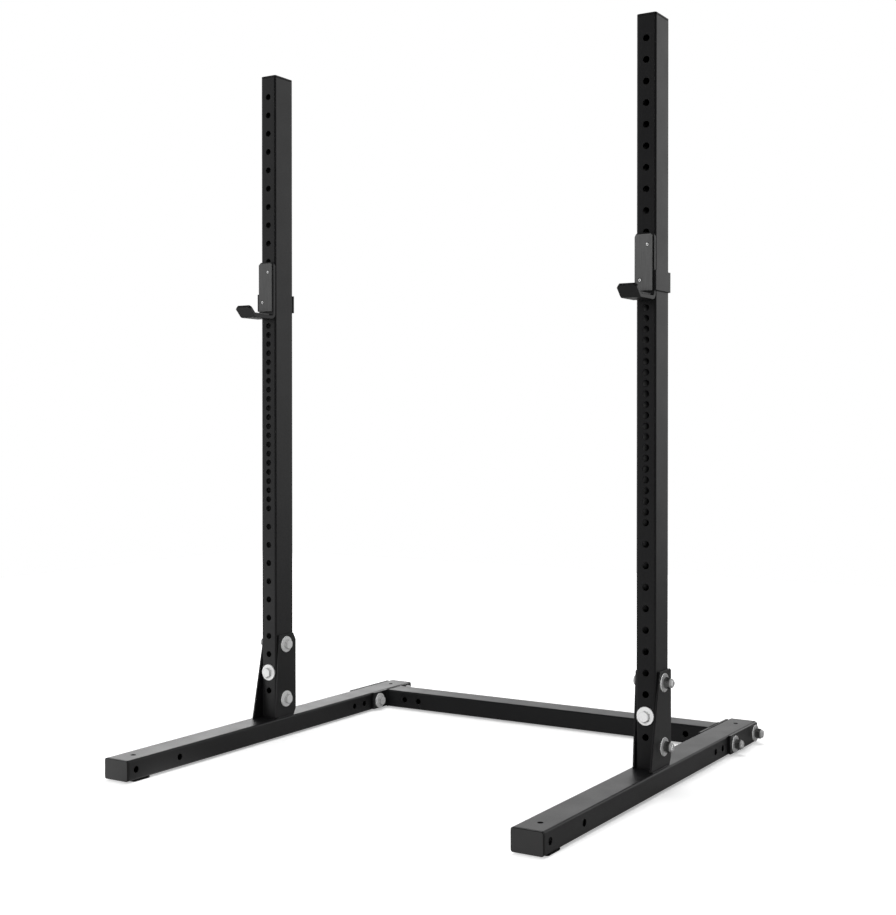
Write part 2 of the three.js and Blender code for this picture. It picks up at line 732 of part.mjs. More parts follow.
// One side of the stand. The left one is the right one mirrored across the middle.
function sideGroup(name, side) {
  const group = new THREE.Group();
  const post = postGroup(name, side);
  const foot = footGroup(name);
  post.position.x = uprightX;
  foot.position.x = uprightX;
  group.add(post, foot, jointGroup(name));
  group.scale.x = side;
  return group;
}

const squatStand = new THREE.Group();
squatStand.add(sideGroup("left", -1));
squatStand.add(sideGroup("right", 1));
squatStand.add(meshOf("crossmember", crossmemberSolid(), blackSteel));

export default squatStand;
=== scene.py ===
import bmesh
import bpy
import numpy as np
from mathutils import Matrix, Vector
from mathutils.geometry import tessellate_polygon


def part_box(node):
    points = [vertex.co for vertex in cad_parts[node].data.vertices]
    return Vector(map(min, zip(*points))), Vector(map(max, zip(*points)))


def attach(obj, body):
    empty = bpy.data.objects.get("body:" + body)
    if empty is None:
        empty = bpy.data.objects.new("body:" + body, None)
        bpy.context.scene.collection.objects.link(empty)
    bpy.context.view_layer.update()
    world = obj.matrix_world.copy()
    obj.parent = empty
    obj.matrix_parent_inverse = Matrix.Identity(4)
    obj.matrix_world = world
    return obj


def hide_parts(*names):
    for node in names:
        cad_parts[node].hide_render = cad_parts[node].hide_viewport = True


# The squat stand's looks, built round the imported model. Metres, +Z up, the feet along Y with
# their front ends at -Y.

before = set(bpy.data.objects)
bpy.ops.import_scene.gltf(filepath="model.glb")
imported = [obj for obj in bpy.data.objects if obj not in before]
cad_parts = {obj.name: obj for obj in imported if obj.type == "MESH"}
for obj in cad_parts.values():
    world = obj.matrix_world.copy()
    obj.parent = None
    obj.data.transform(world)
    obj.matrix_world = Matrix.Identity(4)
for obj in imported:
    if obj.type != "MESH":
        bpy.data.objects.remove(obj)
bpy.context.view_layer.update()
scene = bpy.context.scene
sides = {"left": -1, "right": 1}
print("frame loaded")


# Camera, lamps and room

camera = {
    "place": (1.92996, -3.05958, 0.86408),
    "turn": (89.5, 0.0, 31.04),
    "lens": 54.83,
    "shift": (-0.03375, -0.01945),
}

lamps = {  # place, what it points at, width, height, watts
    "keyLamp": ((0.9, -4.4, 2.1), (0.0, 0.0, 0.9), 2.0, 2.0, 190.0),
    "topLamp": ((0.0, 0.5, 4.2), (0.0, 0.2, 0.0), 3.0, 3.0, 120.0),
    "backLeftLamp": ((-4.2, 3.8, 1.5), (-0.3, 0.0, 0.0), 2.6, 1.6, 24.0),
}
unseenInGloss = ["keyLamp", "topLamp"]

room = {
    "ambient": 0.5,  # what a dull surface gets of the room's light
    "dimEnd": 0.015,  # the camera's end of the room, as metal and paint reflect it
    "brightLevel": 0.93,
    "brightEnd": (-0.55, 0.83, 0.0),  # the way to the white backdrop
    "fadesFrom": (-0.58, -0.12),
    "middle": 0.3,  # more in the middle of the backdrop
    "middleFrom": (0.6, 0.97),
    "lowLevel": 0.4,  # near the floor, as a share of the level higher up
    "lowFrom": (-0.2, 0.16),
    "highLevel": 0.08,  # far overhead, likewise
    "highFrom": (0.3, 0.7),
}

floor = {
    "size": 9.0,
    "colour": (0.3, 0.3, 0.3, 1.0),
    "colourSeen": (0.76, 0.76, 0.76, 1.0),
    "glow": (0.36, 0.95),  # lifts it to white for the eye, near the stand and far from it
    "glowFrom": (0.5, 1.6),
    "inGloss": 0.9,  # in front on the left, as metal and paint reflect it
    "frontLeft": (((1.0, -0.6, 0.0), (-0.13, -0.23)), ((0.0, 1.0, 0.0), (-0.2, -0.7))),  # way, where it fades
}


def placeCamera():
    data = bpy.data.cameras.new("photoCamera")
    data.lens = camera["lens"]
    data.sensor_width = 36.0
    data.shift_x, data.shift_y = camera["shift"]
    data.clip_end = 60.0
    eye = bpy.data.objects.new("photoCamera", data)
    eye.location = camera["place"]
    eye.rotation_euler = np.radians(camera["turn"])
    scene.collection.objects.link(eye)
    scene.camera = eye


def placeLamps():
    for name, (place, aim, width, height, watts) in lamps.items():
        data = bpy.data.lights.new(name, "AREA")
        data.shape = "RECTANGLE"
        data.size, data.size_y, data.energy = width, height, watts
        lamp = bpy.data.objects.new(name, data)
        lamp.visible_glossy = name not in unseenInGloss
        lamp.location = place
        lamp.rotation_euler = (Vector(aim) - Vector(place)).to_track_quat("-Z", "Y").to_euler()
        scene.collection.objects.link(lamp)


# Node trees written as sums

class Wire:
    # A socket that is used in a sum adds its Math node to the tree
    def __init__(self, tree, socket):
        self.tree, self.socket = tree, socket

    def math(self, operation, first, second):
        node = self.tree.nodes.new("ShaderNodeMath")
        node.operation = operation
        for value, entry in zip((first, second), node.inputs):
            plug(self.tree, value, entry)
        return Wire(self.tree, node.outputs[0])

    def __add__(self, other):
        return self.math("ADD", self, other)

    def __mul__(self, other):
        return self.math("MULTIPLY", self, other)

    def __sub__(self, other):
        return self.math("SUBTRACT", self, other)

    def __rsub__(self, other):
        return self.math("SUBTRACT", other, self)

    __radd__ = __add__
    __rmul__ = __mul__


def plug(tree, value, entry):
    if isinstance(value, Wire):
        tree.links.new(value.socket, entry)
    else:
        entry.default_value = value


class Nodes:
    # The node tree of a material or the world
    def __init__(self, owner):
        owner.use_nodes = True
        self.tree = owner.node_tree
        self.tree.nodes.clear()

    def node(self, kind, settings=(), out=0, **entries):
        # underscores in an entry's name stand for spaces, and a leading n for its number
        made = self.tree.nodes.new(kind)
        for key, value in dict(settings).items():
            if key == "stops":
                for element, (position, level) in zip(made.color_ramp.elements, value):
                    element.position, element.color = position, (level, level, level, 1.0)
            else:
                setattr(made, key, value)
        for key, value in entries.items():
            spot = int(key[1:]) if key[0] == "n" and key[1:].isdigit() else key.replace("_", " ")
            plug(self.tree, value, made.inputs[spot])
        return Wire(self.tree, made.outputs[out]) if len(made.outputs) else None

    def ramp(self, factor, *stops):
        # each stop is a place from 0 to 1 and the level there
        return self.node("ShaderNodeValToRGB", {"stops": stops}, n0=factor)

    def mix(self, factor, first, second):
        return self.node("ShaderNodeMix", {"data_type": "RGBA"}, 2, n0=factor, n6=first, n7=second)

    def noise(self, where, scale, detail, roughness=0.5):
        return self.node("ShaderNodeTexNoise", Vector=where, Scale=scale, Detail=detail, Roughness=roughness)

    def stretched(self, where, share):
        return self.node("ShaderNodeMapping", Vector=where, Scale=(1.0, 1.0, share))

    def fade(self, value, span, levels):
        # a smooth step from one level to the other
        return self.node("ShaderNodeMapRange", {"interpolation_type": "SMOOTHSTEP"}, Value=value,
                         From_Min=span[0], From_Max=span[1], To_Min=levels[0], To_Max=levels[1])

    def dot(self, first, second):
        return self.node("ShaderNodeVectorMath", {"operation": "DOT_PRODUCT"}, "Value", n0=first, n1=second)

    def seenBy(self, *names):
        return [self.node("ShaderNodeLightPath", out=f"Is {name} Ray") for name in names]


def grey(level, tint=(1.0, 1.0, 1.0)):
    # a colour as the screen shows it, from 0 to 255, turned into light
    share = level / 255.0
    light = ((share + 0.055) / 1.055) ** 2.4
    return (light * tint[0], light * tint[1], light * tint[2], 1.0)


def makeRoom():
    # The backdrop is white and the camera's end of the room is dim. The camera sees white all round.
    scene.world = bpy.data.worlds.new("whiteRoom")
    nodes = Nodes(scene.world)
    eye, gloss, glass = nodes.seenBy("Camera", "Glossy", "Transmission")
    way = nodes.node("ShaderNodeTexCoord", out="Generated")
    facing = nodes.dot(way, room["brightEnd"])
    rise = nodes.node("ShaderNodeSeparateXYZ", out="Z", Vector=way)
    share = nodes.fade(facing, room["fadesFrom"], (room["dimEnd"], room["brightLevel"]))
    middle = nodes.fade(facing, room["middleFrom"], (0.0, room["middle"]))
    lift = nodes.fade(rise, room["lowFrom"], (room["lowLevel"], 1.0))
    overhead = nodes.fade(rise, room["highFrom"], (1.0, room["highLevel"]))
    seen = (share + middle) * lift * overhead * (gloss + glass + (1 - gloss - glass) * room["ambient"])
    light = nodes.node("ShaderNodeBackground", Color=(1, 1, 1, 1), Strength=eye + (1 - eye) * seen)
    nodes.node("ShaderNodeOutputWorld", n0=light)


def makeFloor():
    paint = bpy.data.materials.new("floorPaint")
    nodes = Nodes(paint)
    eye, gloss, glass = nodes.seenBy("Camera", "Glossy", "Transmission")
    dull = nodes.node("ShaderNodeBsdfDiffuse", Color=nodes.mix(eye, floor["colour"], floor["colourSeen"]))
    where = nodes.node("ShaderNodeTexCoord", out="Object")
    away = nodes.node("ShaderNodeVectorMath", {"operation": "LENGTH"}, "Value", n0=where)
    lit = (gloss + glass) * floor["inGloss"]
    for direction, span in floor["frontLeft"]:
        lit = lit * nodes.fade(nodes.dot(where, direction), span, (0.0, 1.0))
    level = eye * nodes.fade(away, floor["glowFrom"], floor["glow"]) + lit
    glow = nodes.node("ShaderNodeEmission", Color=(1, 1, 1, 1), Strength=level)
    nodes.node("ShaderNodeOutputMaterial", n0=nodes.node("ShaderNodeAddShader", n0=dull, n1=glow))
    half = floor["size"] / 2
    corners = [(-half, -half, 0), (half, -half, 0), (half, half, 0), (-half, half, 0)]
    mesh = bpy.data.meshes.new("floor")
    mesh.from_pydata(corners, [], [(0, 1, 2, 3)])
    mesh.materials.append(paint)
    made = bpy.data.objects.new("floor", mesh)
    scene.collection.objects.link(made)


# Finishes. slot is the finish's name in the CAD, and an edge steeper than sharp, in degrees, is
# drawn sharp. uneven lists the noises in the roughness: scale, detail, amount. bump lists those in
# the height: scale, detail, fineness, share, and depth is the height's measure in metres. mottle is
# a noise that mixes the second colour in.

powder = {
    "name": "blackPowderCoat",
    "slot": "black_powder_coat",
    "sharp": 38.0,
    "colour": grey(16, (1.0, 1.0, 1.08)),
    "worn": grey(22),
    "wear": (9.0, 4.0),
    "wearStops": ((0.35, 0.0), (0.7, 0.3)),
    "thinCoat": grey(30),  # where the coat runs thin on an edge
    "thin": (60.0, 3.0),
    "thinStops": ((0.42, 0.15), (0.62, 0.75)),
    "specular": 0.5,
    "roughness": 0.4,
    "uneven": ((14.0, 4.0, 0.12), (420.0, 1.0, 0.06)),
    "bump": ((850.0, 2.0, 0.55, 1.0), (260.0, 1.0, 0.5, 0.6)),
    "depth": 0.00006,
}
zinc = {
    "name": "brightZinc",
    "slot": "zinc_plated_steel",
    "sharp": 30.0,
    "colour": grey(252, (1.0, 1.0, 0.99)),
    "dull": grey(240, (1.0, 1.0, 1.01)),
    "spots": (240.0, 5.0, 0.65),
    "spotStops": ((0.3, 0.0), (0.75, 1.0)),
    "flat": grey(128),  # the flats of the bolts and nuts: more metallic, and darker, painted shade for their dark reflection
    "metal": 0.14,
    "flatMetal": 0.92,
    "specular": 0.5,
    "roughness": 0.3,
    "uneven": ((300.0, 4.0, 0.16),),
    "bump": ((900.0, 2.0, 0.5, 1.0), (120.0, 1.0, 0.5, 1.0)),
    "depth": 0.00003,
}
capPlastic = {
    "name": "blackCapPlastic",
    "slot": "black_plastic",
    "sharp": 38.0,
    "colour": grey(52),
    "second": grey(46),
    "mottle": (40.0, 3.0, 0.4),
    # painted shade: the cover's sides and round edge, darker than its face
    "rim": grey(16),
    "specular": 0.4,
    "roughness": 0.5,
    "uneven": ((90.0, 2.0, 0.1),),
    "bump": ((1400.0, 1.0, 0.5, 1.0),),
    "depth": 0.00005,
}
linerPlastic = {
    "name": "greyLinerPlastic",
    "slot": "grey_liner_plastic",
    "sharp": 38.0,
    "colour": grey(77),
    "streak": grey(91),
    "streaks": (420.0, 3.0),
    "streakStops": ((0.3, 0.0), (0.7, 0.6)),
    "streakStretch": 0.05,
    "specular": 0.4,
    "roughness": 0.48,
    "uneven": ((120.0, 3.0, 0.12),),
    "bump": ((700.0, 2.0, 0.5, 1.0),),
    "bumpStretch": 0.04,
    "depth": 0.00005,
}
rubber = {
    "name": "blackRubber",
    "slot": "black_rubber",
    "sharp": 38.0,
    "colour": grey(26),
    "second": grey(44),
    "mottle": (200.0, 4.0, 0.5),
    "specular": 0.2,
    "roughness": 0.8,
    "uneven": ((100.0, 2.0, 0.12),),
    "bump": ((1100.0, 3.0, 0.5, 1.0),),
    "depth": 0.00012,
}
nylon = {
    "name": "nutNylon",
    "slot": None,
    "sharp": 30.0,
    "colour": grey(196),
    "second": grey(170),
    "mottle": (300.0, 2.0, 0.3),
    "specular": 0.4,
    "roughness": 0.45,
    "uneven": ((200.0, 2.0, 0.1),),
    "bump": ((900.0, 1.0, 0.5, 1.0),),
    "depth": 0.00003,
}


def surface(finish, colour, metal=lambda nodes, edge: 0.0):
    # One Principled surface. A noise is a half on average, so half of all amounts is taken off the
    # roughness first. The edge attribute is 1 on a rounded edge, where the powder coat runs thin, and on
    # the parts given painted shade: the sides of the caps and the darker metal of the bolts, nuts and screws.
    nodes = Nodes(bpy.data.materials.new(finish["name"]))
    where = nodes.node("ShaderNodeTexCoord", out="Object")
    edge = nodes.node("ShaderNodeAttribute", {"attribute_name": "edge"}, "Fac")
    rough = finish["roughness"] - sum(amount for _, _, amount in finish["uneven"]) / 2
    for scale, detail, amount in finish["uneven"]:
        rough = nodes.noise(where, scale, detail) * amount + rough
    grain = nodes.stretched(where, finish["bumpStretch"]) if "bumpStretch" in finish else where
    height = sum(nodes.noise(grain, *noise) * share for *noise, share in finish["bump"])
    shader = nodes.node(
        "ShaderNodeBsdfPrincipled",
        Base_Color=colour(nodes, where, edge),
        Roughness=rough,
        Metallic=metal(nodes, edge),
        Specular_IOR_Level=finish["specular"],
        Normal=nodes.node("ShaderNodeBump", Height=height, Distance=finish["depth"], Strength=1.0),
    )
    nodes.node("ShaderNodeOutputMaterial", n0=shader)


def mottled(nodes, where, finish):
    scale, detail, amount = finish["mottle"]
    return nodes.mix(nodes.noise(where, scale, detail) * amount, finish["colour"], finish["second"])


def powderColour(nodes, where, edge):
    wear = nodes.ramp(nodes.noise(where, *powder["wear"]), *powder["wearStops"])
    thin = nodes.ramp(nodes.noise(where, *powder["thin"]), *powder["thinStops"])
    return nodes.mix(edge * thin, nodes.mix(wear, powder["colour"], powder["worn"]), powder["thinCoat"])


def zincColour(nodes, where, edge):
    spots = nodes.ramp(nodes.noise(where, *zinc["spots"]), *zinc["spotStops"])
    # the edge attribute mixes in the darker flat colour: painted shade on the bolts', nuts' and screws' dark
    # parts
    return nodes.mix(edge, nodes.mix(spots, zinc["colour"], zinc["dull"]), zinc["flat"])


def linerColour(nodes, where, edge):
    noise = nodes.noise(nodes.stretched(where, linerPlastic["streakStretch"]), *linerPlastic["streaks"])
    streaks = nodes.ramp(noise, *linerPlastic["streakStops"])
    return nodes.mix(streaks, linerPlastic["colour"], linerPlastic["streak"])


def makeFinishes():
    surface(powder, powderColour)
    surface(zinc, zincColour, lambda nodes, edge: edge * (zinc["flatMetal"] - zinc["metal"]) + zinc["metal"])
    # the cap's sides and round edge take the darker rim colour: painted shade
    surface(capPlastic, lambda nodes, where, edge: nodes.mix(
        edge, mottled(nodes, where, capPlastic), capPlastic["rim"]))
    surface(linerPlastic, linerColour)
    for finish in (rubber, nylon):
        surface(finish, lambda nodes, where, edge: mottled(nodes, where, finish))


makeFinishes()
placeCamera()
placeLamps()
makeRoom()
makeFloor()
print("room and finishes made")


# Outlines: closed loops of points in a plane

def fullTurn(count):
    return 2 * np.pi * np.arange(count) / count


def roundedOutline(corners, radius, steps=6):
    # Each corner becomes a circular arc between the points where it leaves the two straight sides:
    # the points of a weighted quadratic curve, whose weight is the sine of half the corner's angle.
    corners = np.asarray(corners, float)
    toLast = np.roll(corners, 1, 0) - corners
    toNext = np.roll(corners, -1, 0) - corners
    toLast /= np.linalg.norm(toLast, axis=1, keepdims=True)
    toNext /= np.linalg.norm(toNext, axis=1, keepdims=True)
    half = np.arccos(np.clip((toLast * toNext).sum(1), -1, 1)) / 2
    reach = (np.broadcast_to(radius, half.shape) / np.tan(half))[:, None, None]
    share = np.linspace(0, 1, steps + 1)[None, :, None]
    weight = np.sin(half)[:, None, None]
    start = corners[:, None] + reach * toLast[:, None]
    stop = corners[:, None] + reach * toNext[:, None]
    parts = ((1 - share) ** 2, 2 * share * (1 - share) * weight, share ** 2)
    arc = (parts[0] * start + parts[1] * corners[:, None] + parts[2] * stop) / sum(parts)
    return arc  # corner, step, (across, up)


def rectangle(width, height, middle=(0.0, 0.0)):
    # the corners of a rectangle, anticlockwise from the lower right
    signs = np.array([(1, -1), (1, 1), (-1, 1), (-1, -1)])
    return signs * (width / 2, height / 2) + middle


def circles(middles, radius, count=32):
    # clockwise circles about several middles: a hole's loop runs that way
    angle = -fullTurn(count)
    unit = np.stack([np.cos(angle), np.sin(angle)], -1)
    return np.asarray(middles, float)[:, None] + radius * unit


def disc(radius, count):
    # one anticlockwise circle
    return circles([(0, 0)], radius, count)[0][::-1]


def outward(loop):
    # For each point the way out of the material, as long as a shift of both its sides by 1 needs:
    # the sum of the two sides' normals over 1 plus their product.
    ahead = np.roll(loop, -1, 0) - loop
    normal = np.stack([ahead[:, 1], -ahead[:, 0]], -1)
    normal /= np.linalg.norm(normal, axis=1, keepdims=True)
    last = np.roll(normal, 1, 0)
    return (normal + last) / (1 + (normal * last).sum(1))[:, None]


# Shells: the vertices and faces of one piece

def turnOutward(build):
    # Makes the faces of each island agree, then turns the islands whose volume comes out negative:
    # three times the volume is the sum of area times distance from the origin along the normal.
    bmesh.ops.recalc_face_normals(build, faces=build.faces)
    waiting = set(build.faces)
    while waiting:
        island, front = [], [waiting.pop()]
        while front:
            face = front.pop()
            island.append(face)
            near = {other for edge in face.edges for other in edge.link_faces} & waiting
            waiting -= near
            front += near
        volume = sum(face.calc_area() * face.normal.dot(face.calc_center_median()) for face in island)
        if volume < 0:
            bmesh.ops.reverse_faces(build, faces=island)


class Shell:
    def __init__(self):
        self.points, self.edges, self.faces, self.count = [], [], [], 0

    def add(self, points, edge=0.0):
        # keeps points in any grid, and returns their numbers in the same grid
        points = np.asarray(points, float)
        numbers = np.arange(self.count, self.count + points[..., 0].size).reshape(points.shape[:-1])
        self.points.append(points.reshape(-1, 3))
        self.edges.append(np.broadcast_to(edge, points.shape[:-1]).ravel())
        self.count += numbers.size
        return numbers

    def band(self, numbers, around=True):
        # a face between each pair of neighbours in the last two grid directions
        right = np.roll(numbers, -1, -1) if around else numbers[..., 1:]
        left = numbers if around else numbers[..., :-1]
        quads = [left[..., :-1, :], right[..., :-1, :], right[..., 1:, :], left[..., 1:, :]]
        self.faces += np.stack(quads, -1).reshape(-1, 4).tolist()

    def rod(self, points, edge=0.0):
        # rings one after another, with a flat face at both ends
        numbers = self.add(points, edge)
        self.band(numbers)
        self.faces += numbers[[0, -1]].tolist()
        return self

    def fan(self, tip, row):
        # triangles between one point and a row of others
        self.faces += [[tip, *pair] for pair in zip(row[:-1], row[1:])]

    def fill(self, loops):
        # triangles in a level plane, inside the first loop and outside the others
        points = np.concatenate(self.points)
        outlines = [[Vector((*pair, 0.0)) for pair in points[loop][:, :2].tolist()] for loop in loops]
        triangles = np.array(tessellate_polygon(outlines))
        self.faces += np.concatenate(loops)[triangles].tolist()

    def fillWall(self, corners, rings):
        # A flat wall with a column of round holes, the lowest first. Quads join the upper half of
        # each hole to the lower half of the next. Fans from the upper corners fill the top and the
        # sides, and two from the lower corners the rest. The corners run clockwise from the lower
        # right one, and each ring anticlockwise from its right.
        half = rings.shape[1] // 2
        quarter = half // 2
        upper, lower = rings[:, :half + 1], rings[:, -np.arange(half + 1)]
        self.band(np.stack([upper[:-1], lower[1:]], -2), around=False)
        lowRight, lowLeft, highLeft, highRight = corners
        self.fan(highRight, [highLeft, *upper[-1, quarter::-1], *rings[-2::-1, 0], lowRight])
        self.fan(highLeft, [*upper[-1, quarter:], *rings[-2::-1, half], lowLeft])
        self.fan(lowRight, [*lower[0, :quarter + 1], lowLeft])
        self.fan(lowLeft, lower[0, quarter:])

    def join(self, other, place=None):
        # takes in another shell, moved to its place
        points = np.concatenate(other.points)
        start = self.count
        self.add(points if place is None else place(points), np.concatenate(other.edges))
        self.faces += [[start + number for number in face] for face in other.faces]
        return self

    def piece(self, name, finish, body, nodes=(), place=None, sharp=None):
        mesh = bpy.data.meshes.new(name)
        points = np.concatenate(self.points)
        mesh.from_pydata((points if place is None else place(points)).tolist(), [], self.faces)
        mesh.attributes.new("edge", "FLOAT", "POINT").data.foreach_set("value", np.concatenate(self.edges))
        build = bmesh.new()
        build.from_mesh(mesh)
        bmesh.ops.remove_doubles(build, verts=build.verts, dist=1e-6)
        turnOutward(build)
        build.to_mesh(mesh)
        build.free()
        mesh.shade_smooth()
        mesh.set_sharp_from_angle(angle=np.radians(sharp or finish["sharp"]))
        mesh.materials.append(bpy.data.materials[finish["name"]])
        made = bpy.data.objects.new(name, mesh)
        scene.collection.objects.link(made)
        made.modifiers.new("evenNormals", "WEIGHTED_NORMAL").keep_sharp = True
        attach(made, body)
        if nodes:
            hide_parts(*nodes)


# Ways in which a shape's across, up and along can point, for a shape that is drawn as seen from
# above, from the front and from the side
fromAbove = ((1, 0, 0), (0, 1, 0), (0, 0, 1))
fromFront = ((1, 0, 0), (0, 0, 1), (0, 1, 0))
fromSide = ((0, 1, 0), (0, 0, 1), (1, 0, 0))


def axes(origin, across, up, along):
    # carries local (across, up, along) to the stand's frame
    turn = np.array([across, up, along], float)
    return lambda points: points @ turn + np.asarray(origin, float)


def polar(radius, angle, height):
    # points at a distance from the third axis and at a height along it
    return np.stack(np.broadcast_arrays(radius * np.cos(angle), radius * np.sin(angle), height), -1)


def ringShare(steps):
    # A quarter round edge: how far each ring is drawn in, how far it drops, and how near the middle
    # of the edge it lies, for a radius of 1.
    bend = np.linspace(0, np.pi / 2, steps + 1)
    return 1 - np.sin(bend), 1 - np.cos(bend), np.sin(2 * bend)


def plateShell(outline, holes, low, high, rounding, steps=3):
    # A plate between two heights. Each loop is a band of rings, drawn in by a quarter circle at both
    # faces, and triangles fill the faces between the bands.
    drawnIn, drop, nearEdge = ringShare(steps)
    insets = rounding * np.concatenate([drawnIn, drawnIn[::-1]])
    heights = np.concatenate([high - rounding * drop, low + rounding * drop[::-1]])
    shade = np.concatenate([nearEdge, nearEdge[::-1]])
    shell = Shell()
    bands = []
    for loop in [outline.reshape(-1, 2), *holes]:
        flat = loop[None] - outward(loop)[None] * insets[:, None, None]
        lift = np.broadcast_to(heights[:, None, None], (*flat.shape[:2], 1))
        bands.append(shell.add(np.concatenate([flat, lift], -1), shade[:, None]))
        shell.band(bands[-1])
    shell.fill([band[0] for band in bands])
    shell.fill([band[-1] for band in bands])
    return shell


def tubeShell(width, height, length, holes, count=32, steps=8):
    # A rectangular tube along the third axis, hollow and open at its ends. holes gives, for the walls
    # at +across, +up, -across and -up, a list of (place across the wall, place along it, radius).
    shell = Shell()
    skins = []
    for inset, radius in ((0.0, tube["corner"]), (tube["wall"], tube["innerCorner"])):
        arc = roundedOutline(rectangle(width - 2 * inset, height - 2 * inset), radius, steps)
        ends = np.stack([np.concatenate([arc, np.full((*arc.shape[:2], 1), z)], -1) for z in (0.0, length)])
        numbers = shell.add(ends)
        shell.band(np.moveaxis(numbers, 0, 1), around=False)
        skins.append(numbers)
    for end in (0, 1):
        shell.band(np.stack([skin[end].ravel() for skin in skins]))
    # each hole is a band of rings, from the outer skin round the rim to the inner skin
    drawnIn, drop, nearEdge = ringShare(3)
    insets = np.append(tube["rim"] * drawnIn, 0.0)
    depths = np.append(tube["rim"] * drop, tube["wall"])
    angle = fullTurn(count)
    for side in range(4):
        level = side % 2
        skinLevels = (1 if side < 2 else -1) * ((width, height)[level] / 2 - depths)
        places = np.array(sorted(holes.get(side, []), key=lambda place: place[1])).reshape(-1, 3)
        across, along, radius = places.T[:, :, None, None]
        radius = radius + insets[:, None]
        points = np.empty((*radius.shape[:2], count, 3))
        points[..., level] = skinLevels[:, None]
        points[..., 1 - level] = across + radius * np.cos(angle)
        points[..., 2] = along + radius * np.sin(angle)
        rings = shell.add(points, np.append(nearEdge, 0.0)[:, None])
        shell.band(rings)
        # the wall's two long edges in both skins, as the number of a corner and of a point of its arc
        following = (side + 1) % 4
        right, left = ((following, 0), (side, -1)) if side in (0, 3) else ((side, -1), (following, 0))
        for skin, ring in zip(skins, (0, -1)):
            corners = [skin[0][right], skin[0][left], skin[1][left], skin[1][right]]
            if len(rings):
                shell.fillWall(corners, rings[:, ring])
            else:
                shell.faces.append(corners)
    return shell


def sweptShell(path, across, section, scale=None):
    # A section of (across, out) points carried along a path. out is square to the path and to the
    # across direction, scale sizes the section at each point, and both ends are closed.
    path = np.asarray(path, float)
    ahead = np.gradient(path, axis=0)
    ahead /= np.linalg.norm(ahead, axis=1, keepdims=True)
    across = np.broadcast_to(np.asarray(across, float), path.shape)
    out = np.cross(ahead, across)
    out /= np.linalg.norm(out, axis=1, keepdims=True)
    scale = np.ones((len(path), 1, 2)) if scale is None else scale
    sized = np.asarray(section)[None] * scale
    return Shell().rod(path[:, None] + sized[..., :1] * across[:, None] + sized[..., 1:] * out[:, None])


weld = {"radius": 0.0024, "ripple": 0.0019, "rippleDepth": 0.13, "step": 0.0005, "runOut": 1.5,
        "sharp": 60.0}


def weldShell(corners, across, closed=False, size=1.0):
    # A bead along a path through corners: a round section whose radius rises and falls with each
    # ripple and runs out to a point at the two ends.
    corners = np.asarray(corners, float)
    if closed:
        corners = np.vstack([corners, corners[:1]])
    lengths = np.append(0, np.cumsum(np.linalg.norm(np.diff(corners, axis=0), axis=1)))
    run = np.linspace(0, lengths[-1], max(8, int(lengths[-1] / weld["step"])))
    path = np.stack([np.interp(run, lengths, corners[:, axis]) for axis in range(3)], -1)
    radius = weld["radius"] * size
    bead = 1 + weld["rippleDepth"] * (np.abs(np.sin(np.pi * run / weld["ripple"])) - 0.6)
    if not closed:
        nearest = np.minimum(run, lengths[-1] - run) / (weld["runOut"] * radius)
        bead *= np.sqrt(np.clip(1 - (1 - np.clip(nearest, 0, 1)) ** 2, 0.01, 1))
    angle = fullTurn(10)
    circle = radius * np.stack([np.cos(angle), np.sin(angle)], -1)
    return sweptShell(path, across, circle, bead[:, None, None] * np.ones((1, 1, 2)))


# The posts. Heights on a post are counted from its bottom.

tube = {"narrow": 0.0508, "wide": 0.0762, "wall": 0.003, "corner": 0.0052, "innerCorner": 0.0021,
        "rim": 0.0006}
hole = {"radius": 0.00825, "pitch": 0.0254, "lowest": 0.0492}
post = {
    "across": 0.5715,  # from the middle of the stand
    "pinSteps": [*range(1, 21, 2), *range(21, 42), *range(42, 67, 2)],  # every second hole, then every one
    "sideBoltSteps": (0, 6),
    "frontBoltStep": 3,
}


def holeHeight(step):
    return hole["lowest"] + hole["pitch"] * step


def makeUpright(name):
    low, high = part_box(f"{name}_upright")
    pins = [(0.0, holeHeight(step), hole["radius"]) for step in post["pinSteps"]]
    bolts = [(0.0, holeHeight(step), hole["radius"]) for step in post["sideBoltSteps"]]
    shell = tubeShell(tube["narrow"], tube["wide"], high.z - low.z, {1: pins, 3: pins, 0: bolts, 2: bolts})
    shell.piece(f"{name}_upright_tube", powder, "stand", [f"{name}_upright"],
                axes(((low.x + high.x) / 2, 0, low.z), *fromAbove))


# The feet

foot = {"spareHoles": (0.3638, 0.3143, -0.4335, -0.5859), "topHoles": (-0.5581, 0.5581),
        "topHoleRadius": 0.0065}
cap = {"cover": 0.006, "rounding": 0.0015, "plug": 0.012, "plugGap": 0.0003, "plugWall": 0.0025,
       "plugTop": 0.0006, "plugRounding": 0.0005}
pad = {"corner": 0.006, "rounding": 0.0012}


def makeFoot(name):
    low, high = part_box(f"{name}_foot")
    length = high.y - low.y
    middle = (low.z + high.z) / 2
    drop = flange["boltHeight"] - middle
    sideHoles = [(y, drop) for y in flange["bolts"]] + [(y, 0.0) for y in foot["spareHoles"]]
    side = [(across, y + length / 2, hole["radius"]) for y, across in sideHoles]
    top = [(0.0, y + length / 2, foot["topHoleRadius"]) for y in foot["topHoles"]]
    shell = tubeShell(tube["wide"], tube["narrow"], length, {0: side, 2: side, 1: top})
    shell.piece(f"{name}_foot_tube", powder, "stand", [f"{name}_foot"],
                axes(((low.x + high.x) / 2, low.y, middle), *fromFront))


